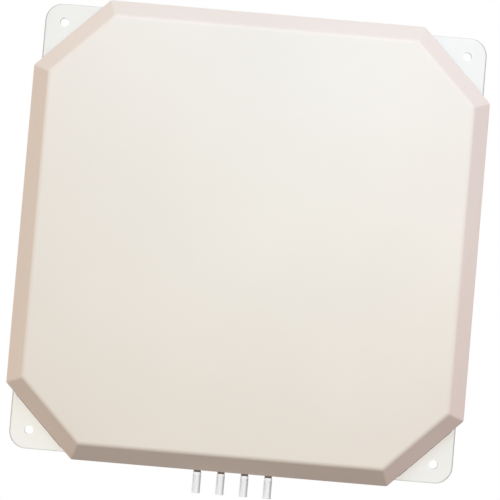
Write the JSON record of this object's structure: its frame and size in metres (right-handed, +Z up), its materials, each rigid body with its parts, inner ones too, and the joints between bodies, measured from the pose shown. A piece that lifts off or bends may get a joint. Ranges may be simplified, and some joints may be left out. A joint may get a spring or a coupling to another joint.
{
  "type": "security gate antenna panel",
  "caption": "Flat off-white patch antenna panel of a shop security gate, with cut corners, drilled corner ears and a row of coaxial ports on its bottom edge.",
  "frame": {"origin": "centre of the four-hole pattern, on the back plate's rear face", "axes": "+Z up, +Y out of the rear face towards the wall, the cover faces -Y, ports point down -Z"},
  "size_m": [0.34, 0.03, 0.358],
  "materials": {
    "cover_plastic": "moulded off-white UV-stable plastic, fine matt grain",
    "plate_coat": "white powder coat on aluminium sheet",
    "seal_foam": "grey-brown closed-cell foam rubber",
    "grommet_rubber": "brown-grey rubber",
    "screw_steel": "stainless steel",
    "port_plating": "bright nickel plate",
    "contact_gold": "gold plate",
    "insulator_white": "white fluoropolymer",
    "bracket_zinc": "zinc-plated steel sheet",
    "patch_sheet": "plain rolled aluminium sheet",
    "nylon_natural": "natural nylon",
    "board_laminate": "green solder mask on laminate",
    "pin_brass": "tinned brass",
    "cable_jacket": "brown fluoropolymer jacket",
    "pillar_foam": "white polyethylene foam",
    "membrane_white": "white vent membrane",
    "label_film": "blank satin polyester film"
  },
  "bodies": {
    "root": {"back_plate": "plate_coat", "board_screws": "screw_steel", "board_spacers": "nylon_natural", "bracket_nuts": "screw_steel", "bracket_screws": "screw_steel", "cable_clips": "nylon_natural", "corner_seals": "seal_foam", "cover": "cover_plastic", "cover_screws": "screw_steel", "crimp_ferrules": "port_plating", "edge_seals": "seal_foam", "feed_board_1": "board_laminate", "feed_board_2": "board_laminate", "feed_board_3": "board_laminate", "feed_board_4": "board_laminate", "feed_pins": "pin_brass", "jumper_cable_1": "cable_jacket", "jumper_cable_2": "cable_jacket", "jumper_cable_3": "cable_jacket", "jumper_cable_4": "cable_jacket", "patch_1": "patch_sheet", "patch_2": "patch_sheet", "patch_3": "patch_sheet", "patch_4": "patch_sheet", "patch_posts": "screw_steel", "patch_screws": "screw_steel", "patch_supports": "nylon_natural", "port_bracket": "bracket_zinc", "port_contacts": "contact_gold", "port_grommets": "grommet_rubber", "port_insulators": "insulator_white", "port_jack_1": "port_plating", "port_jack_2": "port_plating", "port_jack_3": "port_plating", "port_jack_4": "port_plating", "port_lock_washers": "port_plating", "port_nuts": "port_plating", "rear_label": "label_film", "support_pillar": "pillar_foam", "vent_membrane": "membrane_white"}
  },
  "joints": []
}
